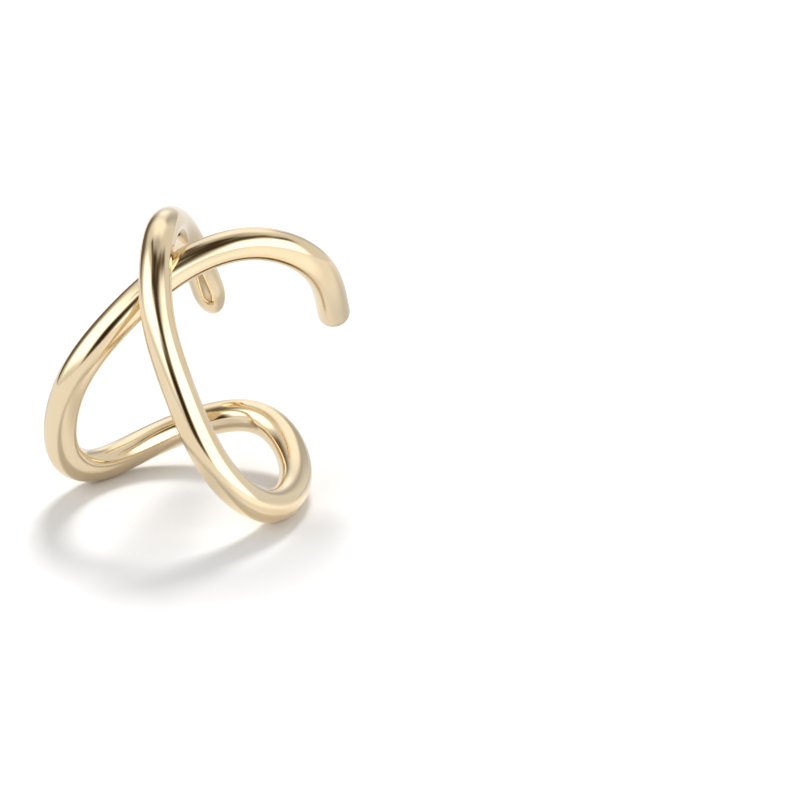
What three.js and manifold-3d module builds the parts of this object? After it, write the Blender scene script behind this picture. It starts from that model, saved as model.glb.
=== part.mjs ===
// Ear cuff: one round polished wire, bent once round the rim of an ear and left open.
// The two strands join in a loop below the ear's edge, cross at the back and end over the top.
// Millimetres, +Z up. The ear's rim runs along X and enters from +Y, where the cuff is open.
// The cuff lies on its two lower bends, and its origin is under the middle of its box.
import * as THREE from 'three';
import { NURBSCurve } from 'three/addons/curves/NURBSCurve.js';
import { mergeVertices } from 'three/addons/utils/BufferGeometryUtils.js';
import Module from 'manifold-3d';

// Driving dimensions
const WIRE_DIAMETER = 1.3;
const RIM_RADIUS = 5;
const HALF_SPREAD = 4.1;
const CROSSING_GAP = 0.12;
const NEAR_TIP_LENGTH = 0.5;
const FAR_TIP_LENGTH = 1.2;

// Fineness of the faceted wire
const WIRE_SIDES = 18;
const STEP_LENGTH = 0.428;
const TIP_RINGS = 6;

// The root of a tip, inside the wire, as a share of the wire's radius
const TIP_ROOT = 0.5;

// Finish
const PALE_GOLD = '#e6c792';
const POLISHED_ROUGHNESS = 0.1;

// The wire's course, from the near tip to the far one, as the control points of a smooth curve.
// turn: degrees round the ear's rim, from the opening over the top to the back and below.
// reach: distance from the middle of the rim, as a share of RIM_RADIUS.
// side: distance along the rim, as a share of HALF_SPREAD.
// over: rise over the other strand, or drop under it, as a share of one wire and its gap.
const COURSE = [
  { turn: 11, reach: 1.11, side: 0.65, over: 0 },
  { turn: 20, reach: 1.05, side: 0.70, over: 0 },
  { turn: 48, reach: 1.02, side: 0.90, over: 0 },
  { turn: 81, reach: 1.08, side: 0.51, over: 0 },
  { turn: 107, reach: 1.07, side: -0.06, over: -0.63 },
  { turn: 147, reach: 0.91, side: -0.40, over: -0.35 },
  { turn: 183, reach: 0.99, side: -0.75, over: 0 },
  { turn: 222, reach: 1.14, side: -0.98, over: 0 },
  { turn: 256, reach: 1.05, side: -0.99, over: 0 },
  { turn: 295, reach: 0.96, side: -0.86, over: 0 },
  { turn: 325, reach: 1.10, side: -0.14, over: 0 },
  { turn: 312, reach: 1.11, side: 0.47, over: 0 },
  { turn: 282, reach: 1.01, side: 0.99, over: 0 },
  { turn: 239, reach: 1.10, side: 1.25, over: 0 },
  { turn: 212, reach: 1.06, side: 0.92, over: 0 },
  { turn: 172, reach: 0.91, side: 0.48, over: 0 },
  { turn: 141, reach: 0.92, side: 0.12, over: 0.35 },
  { turn: 111, reach: 1.07, side: -0.11, over: 0.63 },
  { turn: 77, reach: 1.06, side: -0.54, over: 0 },
  { turn: 46, reach: 1.04, side: -0.79, over: 0 },
  { turn: 23, reach: 1.02, side: -0.80, over: 0 },
  { turn: 12, reach: 1.04, side: -0.78, over: 0 },
];
const CURVE_DEGREE = 3;

// Each open end of the curve repeats its knot, so that the curve starts and ends on its end points
function clampedKnots(pointCount, degree) {
  const spans = pointCount - degree;
  const inner = Array.from({ length: spans + 1 }, (_, index) => index / spans);
  return [...Array(degree).fill(0), ...inner, ...Array(degree).fill(1)];
}

function coursePoint({ turn, reach, side, over }) {
  const angle = THREE.MathUtils.degToRad(turn);
  const radius = reach * RIM_RADIUS + over * (WIRE_DIAMETER + CROSSING_GAP);
  return new THREE.Vector3(side * HALF_SPREAD, radius * Math.cos(angle), radius * Math.sin(angle));
}

function wireCourse() {
  const knots = clampedKnots(COURSE.length, CURVE_DEGREE);
  return new NURBSCurve(CURVE_DEGREE, knots, COURSE.map(coursePoint));
}

// The corners of the faceted section stand a little out, so that it has the round wire's area
function facetedRadius() {
  const corner = 2 * Math.PI / WIRE_SIDES;
  return WIRE_DIAMETER / 2 * Math.sqrt(corner / Math.sin(corner));
}

function sweptWire(course, steps) {
  const section = new THREE.Shape().absarc(0, 0, facetedRadius(), 0, 2 * Math.PI);
  return new THREE.ExtrudeGeometry(section, {
    steps,
    curveSegments: WIRE_SIDES / 2,
    bevelEnabled: false,
    extrudePath: course,
  });
}

// A dome on the end of the wire, turned from half an ellipse, with a root that sits inside the wire
function roundedTip(length) {
  const radius = facetedRadius();
  const root = TIP_ROOT * radius;
  const profile = [new THREE.Vector2(0, -root), new THREE.Vector2(root, -root)];
  for (let ring = 0; ring <= TIP_RINGS; ring += 1) {
    const angle = ring / TIP_RINGS * Math.PI / 2;
    const across = ring === TIP_RINGS ? 0 : radius * Math.cos(angle);
    profile.push(new THREE.Vector2(across, length * Math.sin(angle)));
  }
  return new THREE.LatheGeometry(profile, WIRE_SIDES);
}

// Stand a tip on one end of the wire, with its facets in line with the wire's
function placeTip(tip, end, outward, normal) {
  const across = new THREE.Vector3().crossVectors(normal, outward);
  const place = new THREE.Matrix4().makeBasis(normal, outward, across).setPosition(end);
  return tip.applyMatrix4(place);
}

const wasm = await Module();
wasm.setup();

function solidFrom(geometry) {
  geometry.deleteAttribute('normal');
  geometry.deleteAttribute('uv');
  const merged = mergeVertices(geometry);
  return new wasm.Manifold(new wasm.Mesh({
    numProp: 3,
    vertProperties: new Float32Array(merged.attributes.position.array),
    triVerts: new Uint32Array(merged.index.array),
  }));
}

function geometryFrom(solid) {
  const mesh = solid.getMesh();
  const geometry = new THREE.BufferGeometry();
  geometry.setAttribute('position', new THREE.BufferAttribute(mesh.vertProperties, mesh.numProp));
  geometry.setIndex(new THREE.BufferAttribute(mesh.triVerts, 1));
  return geometry;
}

// Move the wire so that it lies on the plane z = 0 with its box centred over the origin
function standOnOrigin(geometry) {
  geometry.computeBoundingBox();
  const { min, max } = geometry.boundingBox;
  return geometry.translate(-(min.x + max.x) / 2, -(min.y + max.y) / 2, -min.z);
}

function bentWire() {
  const course = wireCourse();
  const steps = Math.round(course.getLength() / STEP_LENGTH);
  const frames = course.computeFrenetFrames(steps, false);
  const nearOutward = course.getTangentAt(0).negate();
  const farOutward = course.getTangentAt(1);
  const nearTip = placeTip(roundedTip(NEAR_TIP_LENGTH), course.getPointAt(0), nearOutward, frames.normals[0]);
  const farTip = placeTip(roundedTip(FAR_TIP_LENGTH), course.getPointAt(1), farOutward, frames.normals[steps]);
  const solid = solidFrom(sweptWire(course, steps)).add(solidFrom(nearTip)).add(solidFrom(farTip));
  const geometry = standOnOrigin(geometryFrom(solid));
  geometry.computeVertexNormals();
  return geometry;
}

function goldFinish() {
  return new THREE.MeshStandardMaterial({
    color: PALE_GOLD,
    metalness: 1,
    roughness: POLISHED_ROUGHNESS,
    flatShading: false,
  });
}

const earCuff = new THREE.Group();
const cuffWire = new THREE.Mesh(bentWire(), goldFinish());
cuffWire.name = 'cuff_wire';
earCuff.add(cuffWire);

export default earCuff;
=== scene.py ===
"""Crossed ear cuff of polished gold-coloured wire, lying on a pale studio floor."""

import math
from collections import namedtuple

import bpy
import numpy as np
from bpy.props import FloatProperty, FloatVectorProperty, IntProperty, PointerProperty
from mathutils import Matrix, Vector


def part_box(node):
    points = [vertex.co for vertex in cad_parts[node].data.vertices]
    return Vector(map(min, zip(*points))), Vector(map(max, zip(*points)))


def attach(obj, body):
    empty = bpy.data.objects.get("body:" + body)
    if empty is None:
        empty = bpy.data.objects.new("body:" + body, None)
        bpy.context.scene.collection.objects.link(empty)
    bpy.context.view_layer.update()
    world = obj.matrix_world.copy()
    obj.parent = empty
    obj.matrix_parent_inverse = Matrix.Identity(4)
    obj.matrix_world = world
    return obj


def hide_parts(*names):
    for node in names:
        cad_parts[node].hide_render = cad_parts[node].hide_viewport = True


bl_info = {
    "name": "Crossed Wire Ear Cuff",
    "version": (1, 0, 0),
    "blender": (4, 5, 0),
    "location": "3D View > Sidebar > Ear Cuff",
    "description": "A round polished wire bent into a crossed ear cuff, and the studio it lies in",
    "category": "Add Mesh",
}

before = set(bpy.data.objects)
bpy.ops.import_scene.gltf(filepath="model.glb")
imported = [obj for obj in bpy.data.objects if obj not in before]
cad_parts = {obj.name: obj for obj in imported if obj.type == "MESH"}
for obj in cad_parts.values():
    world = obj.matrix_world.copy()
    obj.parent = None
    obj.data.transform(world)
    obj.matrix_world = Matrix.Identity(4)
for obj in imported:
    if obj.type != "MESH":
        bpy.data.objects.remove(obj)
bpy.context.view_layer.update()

MILLIMETRE = 0.001

# Degree of the course's curve, steps that measure its length, and the share of it for a direction
SPLINE_DEGREE = 3
FINE_STEPS = 6000
TANGENT_STEP = 1e-5

# The wire's course from the near tip to the far one, as the control points of a smooth curve.
# turn: degrees round the ear's rim, from the opening over the top to the back and below.
# reach: distance from the middle of the rim, as a share of the rim radius.
# side: distance along the rim, as a share of the half spread.
# over: rise over the other strand, or drop under it, as a share of one wire and its gap.
COURSE = np.array([
    (11, 1.11, 0.65, 0),
    (20, 1.05, 0.70, 0),
    (48, 1.02, 0.90, 0),
    (81, 1.08, 0.51, 0),
    (107, 1.07, -0.06, -0.63),
    (147, 0.91, -0.40, -0.35),
    (183, 0.99, -0.75, 0),
    (222, 1.14, -0.98, 0),
    (256, 1.05, -0.99, 0),
    (295, 0.96, -0.86, 0),
    (325, 1.10, -0.14, 0),
    (312, 1.11, 0.47, 0),
    (282, 1.01, 0.99, 0),
    (239, 1.10, 1.25, 0),
    (212, 1.06, 0.92, 0),
    (172, 0.91, 0.48, 0),
    (141, 0.92, 0.12, 0.35),
    (111, 1.07, -0.11, 0.63),
    (77, 1.06, -0.54, 0),
    (46, 1.04, -0.79, 0),
    (23, 1.02, -0.80, 0),
    (12, 1.04, -0.78, 0),
], dtype=[("turn", float), ("reach", float), ("side", float), ("over", float)])

# Place of the rim's middle in the frame of 800 by 800 points, from the frame's middle, right and down
RIM_IN_FRAME = (-199.87, -40.15)
FRAME_WIDTH = 800
SENSOR_WIDTH = 36.0

# Nearest and farthest distances that the camera sees, in metres
CAMERA_RANGE = (0.01, 20)

# Scales of the noises on the gold, per metre: colour drift, haze clouds, waves and the two kinds of marks
DRIFT_SCALE = 260.0
CLOUD_SCALE = 900.0
WAVE_SCALE = 800.0
DRAWN_MARK_SCALE = 4200.0
HANDLING_MARK_SCALE = 1500.0

# Stretch of the waves and of the drawn marks along the wire, as the share of their scale that is kept
WAVE_STRETCH = (0.3, 1, 1)
DRAWN_STRETCH = (0.06, 1, 1)

# Widths of the marks' lines, as differences of the noise's value, and scale of the patches they come in
DRAWN_MARK_WIDTH = 0.02
HANDLING_MARK_WIDTH = 0.012
PATCH_SCALE_SHARE = 0.37

# Values of the noises between which the drift, the clouds and the patches of marks rise from 0 to 1
DRIFT_RANGE = (0.35, 0.65)
CLOUD_RANGE = (0.4, 0.7)
PATCH_RANGE = (0.50, 0.62)

# Shares of the haze that come from the clouds and from the marks
CLOUD_SHARE = 0.4
MARK_SHARE = 0.6

# Scale of the paper's grain, per metre, brightness of its low places, and the paper's own finish
GRAIN_SCALE = 2500.0
GRAIN_TONE = 0.99
PAPER_ROUGHNESS = 0.9
PAPER_GLOSS = 0.1

# Brightness below which a surface of the studio leans to the shade colour
SHADE_LIMIT = 0.5

# Soft surfaces of the studio, by the direction in which the cuff sees them, each over the ones before.
# Azimuth is counted from straight behind the cuff to the right and elevation from the floor up.
# The half sizes and the soft edge are degrees too, and lean turns the right end of a surface up.
SoftSurface = namedtuple("SoftSurface", "azimuth elevation half_width half_height edge lean brightness")
STUDIO = {
    "ceiling": SoftSurface(0, 90, 20, 20, 22, 0, 0.50),
    "right_softbox": SoftSurface(136, 18, 34, 25, 9, 0, 2.0),
    "left_softbox": SoftSurface(238, 33, 37, 18, 9, 0, 2.0),
    "back_softbox": SoftSurface(5, 52, 22, 20, 12, 0, 1.25),
    "back_window": SoftSurface(3, 19, 10, 7, 8, 0, 1.3),
    "side_flag": SoftSurface(321, 9, 27, 18, 11, -14, 0.16),
    "edge_wall": SoftSurface(24, 10, 7, 26, 8, 0, 0.50),
    "right_flag": SoftSurface(95, 43, 12, 8, 8, 35, 0.14),
    "right_canopy": SoftSurface(130, 60, 17, 9, 8, 12, 0.13),
    "middle_canopy": SoftSurface(165, 55, 16, 9, 8, -32, 0.08),
    "left_canopy": SoftSurface(200, 64, 14, 19, 9, 0, 0.05),
    "far_left_canopy": SoftSurface(255, 69, 24, 5, 5, 0, 0.12),
    "camera": SoftSurface(188, 16, 15, 17, 9, 0, 0.03),
    "camera_hood": SoftSurface(180, 41, 11, 12, 8, 0, 0.05),
}

# Painted reflection: areas of the floor by the direction in which the middle of the rim sees them, in the
# same way.
# Their brightness is the share of the paper's brightness that the wire mirrors there: a painted pool of
# light at the front and painted shade to the right and left, in the wire's reflection of the paper only.
PAINTED_FLOOR_REFLECTION = {
    "front_painted_light_pool": SoftSurface(132, -34, 27, 30, 12, 0, 1.12),
    "right_painted_shade": SoftSurface(42, -24, 26, 17, 10, 0, 0.60),
    "left_painted_shade": SoftSurface(318, -22, 16, 13, 10, 0, 0.66),
}

# Height of the rim's middle above the floor, from which the floor's areas are seen
RIM_HEIGHT = 5.5 * MILLIMETRE


class WireSettings(bpy.types.PropertyGroup):
    """Sizes of the bent wire"""
    diameter: FloatProperty(
        name="Wire Diameter", description="Thickness of the round wire",
        default=1.3 * MILLIMETRE, min=0.1 * MILLIMETRE, unit="LENGTH", precision=5)
    rim_radius: FloatProperty(
        name="Rim Radius", description="Distance of the wire from the middle of the ear's rim",
        default=5.0 * MILLIMETRE, min=1.0 * MILLIMETRE, unit="LENGTH", precision=5)
    half_spread: FloatProperty(
        name="Half Spread", description="Distance that the strands spread along the rim to each side",
        default=4.1 * MILLIMETRE, min=0.5 * MILLIMETRE, unit="LENGTH", precision=5)
    crossing_gap: FloatProperty(
        name="Crossing Gap", description="Clear space between the strands where they cross",
        default=0.12 * MILLIMETRE, min=0.0, unit="LENGTH", precision=5)
    near_tip: FloatProperty(
        name="Near Tip Length", description="Length of the rounding on the end of the broad arch",
        default=0.5 * MILLIMETRE, min=0.05 * MILLIMETRE, unit="LENGTH", precision=5)
    far_tip: FloatProperty(
        name="Far Tip Length", description="Length of the rounding on the end of the narrow hook",
        default=1.2 * MILLIMETRE, min=0.05 * MILLIMETRE, unit="LENGTH", precision=5)
    rings: IntProperty(
        name="Rings", description="Number of rings of points along the wire", default=700, min=50)
    tip_rings: IntProperty(
        name="Tip Rings", description="Number of rings of points on each rounded tip", default=16, min=3)
    sides: IntProperty(
        name="Sides", description="Number of points round the wire", default=72, min=8)


class GoldSettings(bpy.types.PropertyGroup):
    """Finish of the gold-coloured wire"""
    colour: FloatVectorProperty(
        name="Gold Colour", description="Colour of the plating on the outer faces", subtype="COLOR",
        size=3, min=0.0, max=1.0, default=(0.85, 0.71, 0.49))
    warm_colour: FloatVectorProperty(
        name="Warm Colour", description="Slightly deeper colour where the plating is thicker",
        subtype="COLOR", size=3, min=0.0, max=1.0, default=(0.83, 0.67, 0.44))
    polish: FloatProperty(
        name="Polish", description="Roughness of the cleanest metal", default=0.08, min=0.0, max=1.0,
        subtype="FACTOR")
    haze: FloatProperty(
        name="Haze", description="Roughness that the finest handling marks add", default=0.05,
        min=0.0, max=1.0, subtype="FACTOR")
    wave_depth: FloatProperty(
        name="Wave Depth", description="Depth of the gentle waves that casting and polishing leave",
        default=0.045 * MILLIMETRE, min=0.0, unit="LENGTH", precision=6)
    mark_depth: FloatProperty(
        name="Mark Depth", description="Depth of the finest handling marks",
        default=0.00004 * MILLIMETRE, min=0.0, unit="LENGTH", precision=8)


class StudioSettings(bpy.types.PropertyGroup):
    """Camera, floor and light"""
    view_turn: FloatProperty(
        name="View Turn", description="Direction of the camera, counted from the cuff's back",
        default=math.radians(35.0), subtype="ANGLE")
    view_height: FloatProperty(
        name="View Height", description="Angle of the camera above the floor",
        default=math.radians(18.0), subtype="ANGLE")
    view_distance: FloatProperty(
        name="View Distance", description="Distance of the camera from the middle of the rim",
        default=246.2 * MILLIMETRE, min=10 * MILLIMETRE, unit="LENGTH", precision=5)
    focal_length: FloatProperty(
        name="Focal Length", description="Focal length for a sensor 36 mm wide", default=281.25, min=10.0)
    floor_width: FloatProperty(
        name="Floor Width", description="Width of the square of paper", default=3.0, min=0.1, unit="LENGTH")
    floor_colour: FloatVectorProperty(
        name="Floor Colour", description="Colour of the paper that the cuff lies on", subtype="COLOR",
        size=3, min=0.0, max=1.0, default=(0.88, 0.88, 0.88))
    # Painted reflection: the paper's colour is dimmed to this share in the wire's reflection only, not as
    # the camera sees it
    painted_reflection_share: FloatProperty(
        name="Floor Mirrored", description="Share of the paper's brightness that the wire mirrors",
        default=0.88, min=0.0, max=1.0, subtype="FACTOR")
    room_light: FloatProperty(
        name="Room Light", description="Brightness of the white room round the cuff", default=0.82, min=0.0)
    floor_share: FloatProperty(
        name="Floor Share", description="Share of the room's light that the floor takes, as its shadows do",
        default=0.92, min=0.0, max=1.0, subtype="FACTOR")
    shade_colour: FloatVectorProperty(
        name="Shade Colour", description="Warm brown that the dark surfaces of the studio lean to",
        subtype="COLOR", size=3, min=0.0, max=1.0, default=(1.0, 0.72, 0.40))
    back_light: FloatProperty(
        name="Back Light", description="Strength of the light behind the cuff that throws its shadow",
        default=2.15, min=0.0)
    back_light_turn: FloatProperty(
        name="Back Light Turn", description="Direction of that light, from straight behind to the right",
        default=math.radians(5.0), subtype="ANGLE")
    back_light_height: FloatProperty(
        name="Back Light Height", description="Angle of that light above the floor",
        default=math.radians(44.0), subtype="ANGLE")
    back_light_width: FloatProperty(
        name="Back Light Width", description="Angle across that light, which softens its shadow",
        default=math.radians(15.0), subtype="ANGLE")


def spline_weights(count, places):
    """Weights of each control point at each place on a curve that starts and ends on its end points.

    Each degree's weight blends two neighbours of the degree below, in proportion to how far the
    place lies from the knots where they start and end.
    """
    knots = np.concatenate([
        np.zeros(SPLINE_DEGREE),
        np.linspace(0, 1, count - SPLINE_DEGREE + 1),
        np.ones(SPLINE_DEGREE),
    ])
    at = np.clip(places, 0, 1 - 1e-12)[:, None]
    weights = ((knots[:-1] <= at) & (at < knots[1:])).astype(float)
    for degree in range(1, SPLINE_DEGREE + 1):
        rise_span = knots[degree:-1] - knots[:-degree - 1]
        fall_span = knots[degree + 1:] - knots[1:-degree]
        rise = (at - knots[:-degree - 1]) / np.where(rise_span > 0, rise_span, 1)
        fall = (knots[degree + 1:] - at) / np.where(fall_span > 0, fall_span, 1)
        weights = rise * weights[:, :-1] + fall * weights[:, 1:]
    return weights


def course_controls(wire):
    """Control points: a turn round the rim's axis at the reach, plus the rise over the other strand,
    and a step to the side along the axis."""
    angle = np.radians(COURSE["turn"])
    radius = COURSE["reach"] * wire.rim_radius + COURSE["over"] * (wire.diameter + wire.crossing_gap)
    side = COURSE["side"] * wire.half_spread
    return np.stack([side, radius * np.cos(angle), radius * np.sin(angle)], axis=1)


def middle_line(wire):
    """Points, directions and distances along the course, evenly spaced by its length."""
    controls = course_controls(wire)
    fine = np.linspace(0, 1, FINE_STEPS)
    steps = np.diff(spline_weights(len(controls), fine) @ controls, axis=0)
    lengths = np.concatenate([[0.0], np.cumsum(np.linalg.norm(steps, axis=1))])
    distance = np.linspace(0, lengths[-1], wire.rings)
    places = np.interp(distance, lengths, fine)
    points = spline_weights(len(controls), places) @ controls
    ahead = spline_weights(len(controls), np.minimum(places + TANGENT_STEP, 1)) @ controls
    behind = spline_weights(len(controls), np.maximum(places - TANGENT_STEP, 0)) @ controls
    return points, unit(ahead - behind), distance


def unit(vectors):
    return vectors / np.linalg.norm(vectors, axis=-1, keepdims=True)


def tip_steps(wire, length):
    """Steps of a rounded tip, from the pole to the wire, as a quarter turn of half an ellipse."""
    quarter = np.linspace(math.pi / 2, 0, wire.tip_rings, endpoint=False)
    return length * np.sin(quarter), wire.diameter / 2 * np.cos(quarter)


def swept_rings(wire):
    """The wire's surface on a grid of distance along it and angle round it.

    The middle line runs straight on past both ends by the length of the tips. The radius is half the
    diameter along the wire and follows half an ellipse over each tip. Round each point of the middle
    line the section is radius x (cos angle x inward + sin angle x across), where inward points from
    the wire to the rim's axis, square to the wire.
    """
    points, along, distance = middle_line(wire)
    near_out, near_radius = tip_steps(wire, wire.near_tip)
    far_out, far_radius = tip_steps(wire, wire.far_tip)
    points = np.concatenate([
        points[:1] - near_out[:, None] * along[:1],
        points,
        points[-1:] + far_out[::-1, None] * along[-1:],
    ])
    along = np.concatenate([
        np.repeat(along[:1], len(near_out), axis=0), along, np.repeat(along[-1:], len(far_out), axis=0)])
    distance = np.concatenate([-near_out, distance, distance[-1] + far_out[::-1]])
    straight = np.full(wire.rings, wire.diameter / 2)
    radius = np.concatenate([near_radius, straight, far_radius[::-1]])
    to_axis = -points * [0, 1, 1]
    inward = unit(to_axis - np.sum(to_axis * along, axis=1, keepdims=True) * along)
    across = np.cross(along, inward)
    angle = np.linspace(0, 2 * math.pi, wire.sides, endpoint=False)
    section = (inward[:, None] * np.cos(angle)[None, :, None]
               + across[:, None] * np.sin(angle)[None, :, None])
    surface = points[:, None] + radius[:, None, None] * section
    unbent = np.stack([
        np.repeat(distance[:, None], wire.sides, axis=1),
        radius[:, None] * np.cos(angle)[None],
        radius[:, None] * np.sin(angle)[None],
    ], axis=2)
    return surface, unbent


def closed_tube_faces(rings, sides):
    """Quads between neighbouring rings and a fan of triangles from each end ring to its pole."""
    row = np.arange(1, rings - 2)[:, None]
    column = np.arange(sides)[None]
    after = (column + 1) % sides
    first = 1 + (row - 1) * sides
    quads = np.stack([
        first + column, first + after, first + sides + after, first + sides + column], axis=2)
    column = np.arange(sides)
    after = (column + 1) % sides
    last = 1 + (rings - 3) * sides
    near_fan = np.stack([np.zeros(sides, int), 1 + after, 1 + column], axis=1)
    far_fan = np.stack([np.full(sides, last + sides), last + column, last + after], axis=1)
    return quads.reshape(-1, 4).tolist() + near_fan.tolist() + far_fan.tolist()


def closed_tube_points(grid):
    """The grid's points as one list, with each end ring, which is a single point, taken once."""
    return np.concatenate([grid[0, :1], grid[1:-1].reshape(-1, 3), grid[-1, :1]])


def lay_in_solid(points, node):
    """Moves the points so that their box stands on the solid's floor, in the middle of its box."""
    low, high = (np.array(corner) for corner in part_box(node))
    middle = (low + high) / 2
    shift = middle - (points.min(axis=0) + points.max(axis=0)) / 2
    shift[2] = low[2] - points[:, 2].min()
    return points + shift


def remove_old(name):
    old = bpy.data.objects.get(name)
    if old is not None:
        bpy.data.objects.remove(old)


def make_mesh_object(name, points, faces):
    remove_old(name)
    mesh = bpy.data.meshes.new(name)
    mesh.from_pydata(points.tolist(), [], faces)
    mesh.polygons.foreach_set("use_smooth", np.ones(len(mesh.polygons), bool))
    mesh.update()
    made = bpy.data.objects.new(name, mesh)
    bpy.context.scene.collection.objects.link(made)
    return made


def new_group(name, inputs, outputs):
    """A shader node group with the given inputs and outputs, and its two end nodes."""
    group = bpy.data.node_groups.new(name, "ShaderNodeTree")
    for label, kind, value in inputs:
        socket = group.interface.new_socket(name=label, in_out="INPUT", socket_type=kind)
        if value is not None:
            socket.default_value = value
    for label, kind in outputs:
        group.interface.new_socket(name=label, in_out="OUTPUT", socket_type=kind)
    return group, group.nodes.new("NodeGroupInput"), group.nodes.new("NodeGroupOutput")


def math_node(tree, operation, *values):
    """A Math node: each value is a number or a socket to link."""
    node = tree.nodes.new("ShaderNodeMath")
    node.operation = operation
    for socket, value in zip(node.inputs, values):
        if isinstance(value, bpy.types.NodeSocket):
            tree.links.new(value, socket)
        else:
            socket.default_value = value
    return node.outputs[0]


def noise_node(tree, vector, scale, detail, roughness=0.5):
    node = tree.nodes.new("ShaderNodeTexNoise")
    tree.links.new(vector, node.inputs["Vector"])
    if isinstance(scale, bpy.types.NodeSocket):
        tree.links.new(scale, node.inputs["Scale"])
    else:
        node.inputs["Scale"].default_value = scale
    node.inputs["Detail"].default_value = detail
    node.inputs["Roughness"].default_value = roughness
    return node.outputs["Fac"]


def scaled_vector(tree, vector, scale):
    node = tree.nodes.new("ShaderNodeMapping")
    tree.links.new(vector, node.inputs["Vector"])
    node.inputs["Scale"].default_value = scale
    return node.outputs["Vector"]


def smooth_range(tree, value, low, high):
    """A mask that rises smoothly from 0 at low to 1 at high."""
    node = tree.nodes.new("ShaderNodeMapRange")
    node.interpolation_type = "SMOOTHSTEP"
    tree.links.new(value, node.inputs["Value"])
    node.inputs["From Min"].default_value = low
    node.inputs["From Max"].default_value = high
    return node.outputs["Result"]


def fine_marks_group():
    """Fine marks of handling: thin broken lines where a noise passes through its middle value.

    Lines is 1 on a line and 0 beside it, and is broken up by a second, coarser noise.
    """
    name = "fine_marks"
    if name in bpy.data.node_groups:
        return bpy.data.node_groups[name]
    group, given, result = new_group(
        name,
        [("Vector", "NodeSocketVector", None), ("Scale", "NodeSocketFloat", 600.0),
         ("Width", "NodeSocketFloat", 0.01)],
        [("Lines", "NodeSocketFloat")])
    value = noise_node(group, given.outputs["Vector"], given.outputs["Scale"], 1.0)
    off_middle = math_node(group, "ABSOLUTE", math_node(group, "SUBTRACT", value, 0.5))
    line = math_node(group, "SUBTRACT", 1.0, math_node(group, "DIVIDE", off_middle, given.outputs["Width"]))
    line = math_node(group, "MAXIMUM", line, 0.0)
    patches = smooth_range(group, noise_node(
        group, given.outputs["Vector"],
        math_node(group, "MULTIPLY", given.outputs["Scale"], PATCH_SCALE_SHARE), 2.0), *PATCH_RANGE)
    group.links.new(math_node(group, "MULTIPLY", line, patches), result.inputs["Lines"])
    return group


def place_group(tree, group, vector, **values):
    node = tree.nodes.new("ShaderNodeGroup")
    node.node_tree = group
    tree.links.new(vector, node.inputs["Vector"])
    for label, value in values.items():
        node.inputs[label].default_value = value
    return node


def new_material(name):
    old = bpy.data.materials.get(name)
    if old is not None:
        bpy.data.materials.remove(old)
    material = bpy.data.materials.new(name)
    material.use_nodes = True
    return material, material.node_tree, material.node_tree.nodes["Principled BSDF"]


def polished_gold(gold):
    """Pale gold plating: mirror polish over gentle waves, with a faint drift of colour, haze and marks.

    The height is the waves' noise times their depth, less the marks times theirs, in metres.
    """
    material, tree, shader = new_material("polished_pale_gold")
    shader.inputs["Metallic"].default_value = 1.0
    unbent = tree.nodes.new("ShaderNodeAttribute")
    unbent.attribute_name = "unbent_place"
    place = unbent.outputs["Vector"]

    drift = smooth_range(tree, noise_node(tree, place, DRIFT_SCALE, 2.0), *DRIFT_RANGE)
    tone = tree.nodes.new("ShaderNodeMix")
    tone.data_type = "RGBA"
    tree.links.new(drift, tone.inputs["Factor"])
    tone.inputs["A"].default_value = (*gold.colour, 1)
    tone.inputs["B"].default_value = (*gold.warm_colour, 1)
    tree.links.new(tone.outputs["Result"], shader.inputs["Base Color"])

    drawn = place_group(tree, fine_marks_group(), scaled_vector(tree, place, DRAWN_STRETCH),
                        Scale=DRAWN_MARK_SCALE, Width=DRAWN_MARK_WIDTH)
    handled = place_group(tree, fine_marks_group(), place,
                          Scale=HANDLING_MARK_SCALE, Width=HANDLING_MARK_WIDTH)
    marks = math_node(tree, "MAXIMUM", drawn.outputs["Lines"], handled.outputs["Lines"])
    cloud = smooth_range(tree, noise_node(tree, place, CLOUD_SCALE, 3.0), *CLOUD_RANGE)
    haze = math_node(tree, "ADD", math_node(tree, "MULTIPLY", cloud, CLOUD_SHARE),
                     math_node(tree, "MULTIPLY", marks, MARK_SHARE))
    roughness = math_node(tree, "ADD", math_node(tree, "MULTIPLY", haze, gold.haze), gold.polish)
    tree.links.new(roughness, shader.inputs["Roughness"])

    waves = noise_node(tree, scaled_vector(tree, place, WAVE_STRETCH), WAVE_SCALE, 1.0)
    height = math_node(tree, "SUBTRACT", math_node(tree, "MULTIPLY", waves, gold.wave_depth),
                       math_node(tree, "MULTIPLY", marks, gold.mark_depth))
    bump = tree.nodes.new("ShaderNodeBump")
    bump.inputs["Strength"].default_value = 1.0
    bump.inputs["Distance"].default_value = 1.0
    tree.links.new(height, bump.inputs["Height"])
    tree.links.new(bump.outputs["Normal"], shader.inputs["Normal"])
    return material


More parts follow.
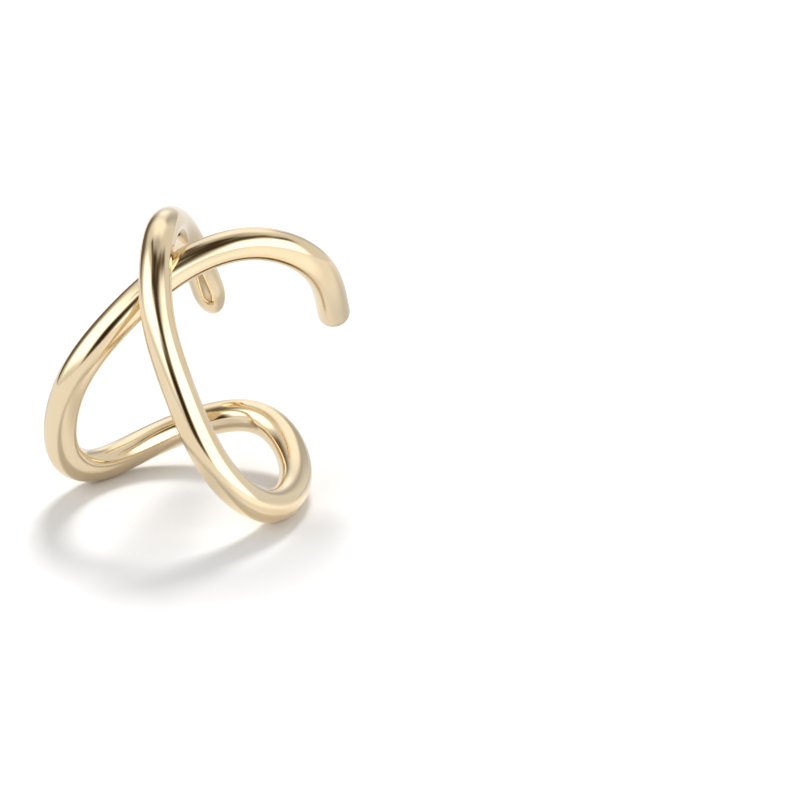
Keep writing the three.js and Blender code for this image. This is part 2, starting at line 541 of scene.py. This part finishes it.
def paper_with_painted_reflection(studio):
    """Smooth pale paper with a very faint grain.

    The paper's colour carries a painted reflection: the wire mirrors a share of the paper's brightness,
    which is drawn to that of each floor area by its mask, in the direction from the rim's middle to the
    point of the paper, so the paper is painted darker, or lighter in a pool, in the wire's reflection only.
    """
    material, tree, shader = new_material("pale_paper_painted_reflection")
    coordinates = tree.nodes.new("ShaderNodeTexCoord")
    grain = noise_node(tree, coordinates.outputs["Object"], GRAIN_SCALE, 3.0)
    tone = tree.nodes.new("ShaderNodeMix")
    tone.data_type = "RGBA"
    tree.links.new(grain, tone.inputs["Factor"])
    tone.inputs["A"].default_value = (*(GRAIN_TONE * value for value in studio.floor_colour), 1)
    tone.inputs["B"].default_value = (*studio.floor_colour, 1)
    from_rim = tree.nodes.new("ShaderNodeVectorMath")
    from_rim.operation = "SUBTRACT"
    tree.links.new(coordinates.outputs["Object"], from_rim.inputs[0])
    from_rim.inputs[1].default_value = (0, 0, RIM_HEIGHT)
    towards = tree.nodes.new("ShaderNodeVectorMath")
    towards.operation = "NORMALIZE"
    tree.links.new(from_rim.outputs["Vector"], towards.inputs[0])
    direction = turned_to_view(tree, towards.outputs["Vector"], studio)
    painted_reflection = drawn_to_surfaces(tree, direction, PAINTED_FLOOR_REFLECTION, studio.painted_reflection_share)
    # Painted reflection: for glossy rays only, the paper's colour is scaled by the painted share, darker in
    # the shades and lighter in the pool
    light_path = tree.nodes.new("ShaderNodeLightPath")
    dimming = math_node(tree, "MULTIPLY", light_path.outputs["Is Glossy Ray"],
                        math_node(tree, "SUBTRACT", 1.0, painted_reflection))
    shown = math_node(tree, "SUBTRACT", 1.0, dimming)
    dimmed = tree.nodes.new("ShaderNodeVectorMath")
    dimmed.operation = "SCALE"
    tree.links.new(tone.outputs["Result"], dimmed.inputs[0])
    tree.links.new(shown, dimmed.inputs["Scale"])
    tree.links.new(dimmed.outputs["Vector"], shader.inputs["Base Color"])
    shader.inputs["Roughness"].default_value = PAPER_ROUGHNESS
    shader.inputs["Specular IOR Level"].default_value = PAPER_GLOSS
    return material


def soft_surface_group():
    """Mask of a soft-edged rectangle seen in one direction.

    The direction is turned back by the surface's azimuth, elevation and lean, so that the surface lies
    level and straight ahead. The mask then falls smoothly over the edge, across the width and height.
    """
    name = "soft_surface"
    if name in bpy.data.node_groups:
        return bpy.data.node_groups[name]
    labels = ["Azimuth", "Elevation", "Lean", "Half Width", "Half Height", "Edge"]
    group, given, result = new_group(
        name,
        [("Vector", "NodeSocketVector", None)] + [(label, "NodeSocketFloat", 0.0) for label in labels],
        [("Mask", "NodeSocketFloat")])

    def turned(vector, axis, angle):
        node = group.nodes.new("ShaderNodeVectorRotate")
        node.rotation_type = axis
        group.links.new(vector, node.inputs["Vector"])
        group.links.new(angle, node.inputs["Angle"])
        return node.outputs["Vector"]

    ahead = turned(given.outputs["Vector"], "Z_AXIS", given.outputs["Azimuth"])
    ahead = turned(ahead, "X_AXIS", math_node(group, "MULTIPLY", given.outputs["Elevation"], -1.0))
    ahead = turned(ahead, "Y_AXIS", given.outputs["Lean"])
    split = group.nodes.new("ShaderNodeSeparateXYZ")
    group.links.new(ahead, split.inputs[0])
    turn = math_node(group, "ARCTAN2", split.outputs["X"], split.outputs["Y"])
    across = math_node(group, "ABSOLUTE", turn)
    height = math_node(group, "ABSOLUTE", math_node(group, "ARCSINE", split.outputs["Z"]))

    def inside(angle, half):
        past = math_node(group, "DIVIDE", math_node(group, "SUBTRACT", angle, half), given.outputs["Edge"])
        clear = math_node(group, "SUBTRACT", 0.5, math_node(group, "MULTIPLY", past, 0.5))
        return smooth_range(group, clear, 0.0, 1.0)

    mask = math_node(group, "MULTIPLY", inside(across, given.outputs["Half Width"]),
                     inside(height, given.outputs["Half Height"]))
    group.links.new(mask, result.inputs["Mask"])
    return group


def drawn_to_surfaces(tree, vector, surfaces, value):
    """The value, drawn to the brightness of each surface in turn by that surface's mask."""
    for surface in surfaces.values():
        mask = place_group(tree, soft_surface_group(), vector, **{
            "Azimuth": math.radians(surface.azimuth),
            "Elevation": math.radians(surface.elevation),
            "Lean": math.radians(surface.lean),
            "Half Width": math.radians(surface.half_width),
            "Half Height": math.radians(surface.half_height),
            "Edge": math.radians(surface.edge),
        }).outputs["Mask"]
        step = math_node(tree, "SUBTRACT", surface.brightness, value)
        value = math_node(tree, "ADD", value, math_node(tree, "MULTIPLY", mask, step))
    return value


def turned_to_view(tree, vector, studio):
    """The direction as azimuth zero has it: straight behind the cuff, seen from the camera."""
    node = tree.nodes.new("ShaderNodeVectorRotate")
    node.rotation_type = "Z_AXIS"
    node.inputs["Angle"].default_value = -studio.view_turn
    tree.links.new(vector, node.inputs["Vector"])
    return node.outputs["Vector"]


def studio_room(studio):
    """White room with soft boxes and dark flags, which the camera itself sees as a plain pale wall.

    The brightness starts at the room's own and is drawn to each surface's by its mask. The floor takes
    a share of it, and the darkest surfaces lean to the shade colour.
    """
    old = bpy.data.worlds.get("studio_room")
    if old is not None:
        bpy.data.worlds.remove(old)
    room = bpy.data.worlds.new("studio_room")
    room.use_nodes = True
    tree = room.node_tree
    background = tree.nodes["Background"]
    coordinates = tree.nodes.new("ShaderNodeTexCoord")
    direction = turned_to_view(tree, coordinates.outputs["Generated"], studio)
    brightness = drawn_to_surfaces(tree, direction, STUDIO, studio.room_light)
    light_path = tree.nodes.new("ShaderNodeLightPath")
    camera_ray = light_path.outputs["Is Camera Ray"]
    shade = tree.nodes.new("ShaderNodeMix")
    shade.data_type = "RGBA"
    neutral = math_node(tree, "DIVIDE", brightness, SHADE_LIMIT)
    tree.links.new(math_node(tree, "MAXIMUM", neutral, camera_ray), shade.inputs["Factor"])
    shade.inputs["A"].default_value = (*studio.shade_colour, 1)
    shade.inputs["B"].default_value = (1, 1, 1, 1)
    tree.links.new(shade.outputs["Result"], background.inputs["Color"])
    on_floor = math_node(tree, "SUBTRACT", 1.0, math_node(
        tree, "MULTIPLY", light_path.outputs["Is Diffuse Ray"], 1.0 - studio.floor_share))
    brightness = math_node(tree, "MULTIPLY", brightness, on_floor)
    seen = math_node(tree, "MULTIPLY", camera_ray, math_node(tree, "SUBTRACT", 1.0, brightness))
    tree.links.new(math_node(tree, "ADD", brightness, seen), background.inputs["Strength"])
    bpy.context.scene.world = room


def view_axes(studio):
    """Unit vectors of the photograph's view: right, level and away, and along the line of sight."""
    turn, height = studio.view_turn, studio.view_height
    away = Vector((-math.sin(turn), math.cos(turn), 0))
    right = Vector((math.cos(turn), math.sin(turn), 0))
    sight = away * math.cos(height) - Vector((0, 0, 1)) * math.sin(height)
    return right, away, sight


def rim_middle():
    """Middle of the ear's rim in the cuff's frame: where the control points are measured from."""
    wire = bpy.context.scene.cuff_wire
    surface, _ = swept_rings(wire)
    points = closed_tube_points(surface)
    moved = lay_in_solid(points, "cuff_wire")
    return Vector(moved[0] - points[0])


def add_camera(studio):
    """Camera at the photograph's angle, turned so that the cuff has its place in the frame.

    Seen from the camera, the middle of the frame lies to one side of the rim's middle by the place
    in the frame divided by the focal length in the same points.
    """
    remove_old("camera")
    data = bpy.data.cameras.new("camera")
    data.lens = studio.focal_length
    data.sensor_width = SENSOR_WIDTH
    data.clip_start, data.clip_end = CAMERA_RANGE
    right, _, sight = view_axes(studio)
    up = right.cross(sight)
    focal_points = studio.focal_length / SENSOR_WIDTH * FRAME_WIDTH
    aim = sight - right * (RIM_IN_FRAME[0] / focal_points) + up * (RIM_IN_FRAME[1] / focal_points)
    aim.normalize()
    side = aim.cross(up).normalized()
    place = Matrix((side, side.cross(aim), -aim)).transposed().to_4x4()
    place.translation = rim_middle() - sight * studio.view_distance
    camera = bpy.data.objects.new("camera", data)
    camera.matrix_world = place
    bpy.context.scene.collection.objects.link(camera)
    bpy.context.scene.camera = camera


def add_floor(studio):
    """Square of paper under the cuff, wide enough to fill the frame from every side."""
    half = studio.floor_width / 2
    points = np.array([(-half, -half, 0), (half, -half, 0), (half, half, 0), (-half, half, 0)])
    floor = make_mesh_object("floor", points, [(0, 1, 2, 3)])
    floor.data.materials.append(paper_with_painted_reflection(studio))


def add_back_light(studio):
    """Soft light behind the cuff, high and slightly to the right, which throws its shadow forwards."""
    remove_old("back_light")
    data = bpy.data.lights.new("back_light", "SUN")
    data.energy = studio.back_light
    data.angle = studio.back_light_width
    right, away, _ = view_axes(studio)
    turn, height = studio.back_light_turn, studio.back_light_height
    level = away * math.cos(turn) + right * math.sin(turn)
    towards = level * math.cos(height) + Vector((0, 0, 1)) * math.sin(height)
    lamp = bpy.data.objects.new("back_light", data)
    lamp.visible_glossy = False
    lamp.rotation_euler = towards.to_track_quat("Z", "Y").to_euler()
    lamp.location = towards * studio.view_distance
    bpy.context.scene.collection.objects.link(lamp)


class CUFF_OT_bend_wire(bpy.types.Operator):
    """Bend the round wire along its course, round its tips and give it its polish"""
    bl_idname = "ear_cuff.bend_wire"
    bl_label = "Bend Wire"

    def execute(self, context):
        wire = context.scene.cuff_wire
        surface, unbent = swept_rings(wire)
        points = lay_in_solid(closed_tube_points(surface), "cuff_wire")
        piece = make_mesh_object("bent_wire", points, closed_tube_faces(*surface.shape[:2]))
        attribute = piece.data.attributes.new("unbent_place", "FLOAT_VECTOR", "POINT")
        attribute.data.foreach_set("vector", closed_tube_points(unbent).astype(np.float32).ravel())
        piece.data.materials.append(polished_gold(context.scene.cuff_gold))
        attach(piece, "root")
        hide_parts("cuff_wire")
        return {"FINISHED"}


class CUFF_OT_set_studio(bpy.types.Operator):
    """Set up the pale floor, the soft studio light and the camera at the photograph's angle"""
    bl_idname = "ear_cuff.set_studio"
    bl_label = "Set Up Studio"

    def execute(self, context):
        studio = context.scene.cuff_studio
        add_floor(studio)
        studio_room(studio)
        add_back_light(studio)
        add_camera(studio)
        context.scene.view_settings.view_transform = "Standard"
        return {"FINISHED"}


class CUFF_PT_sidebar(bpy.types.Panel):
    """Sizes, finish and studio of the ear cuff"""
    bl_idname = "CUFF_PT_sidebar"
    bl_label = "Ear Cuff"
    bl_space_type = "VIEW_3D"
    bl_region_type = "UI"
    bl_category = "Ear Cuff"

    def draw(self, context):
        scene = context.scene
        for settings, operator in (
            (scene.cuff_wire, None),
            (scene.cuff_gold, "ear_cuff.bend_wire"),
            (scene.cuff_studio, "ear_cuff.set_studio"),
        ):
            column = self.layout.column(align=True)
            for name in settings.__annotations__:
                column.prop(settings, name)
            if operator:
                column.operator(operator)


CLASSES = (
    WireSettings, GoldSettings, StudioSettings, CUFF_OT_bend_wire, CUFF_OT_set_studio, CUFF_PT_sidebar)


def register():
    for each in CLASSES:
        bpy.utils.register_class(each)
    bpy.types.Scene.cuff_wire = PointerProperty(type=WireSettings)
    bpy.types.Scene.cuff_gold = PointerProperty(type=GoldSettings)
    bpy.types.Scene.cuff_studio = PointerProperty(type=StudioSettings)


def unregister():
    del bpy.types.Scene.cuff_studio
    del bpy.types.Scene.cuff_gold
    del bpy.types.Scene.cuff_wire
    for each in reversed(CLASSES):
        bpy.utils.unregister_class(each)


def main():
    register()
    bpy.ops.ear_cuff.bend_wire()
    bpy.ops.ear_cuff.set_studio()


if __name__ == "__main__":
    main()
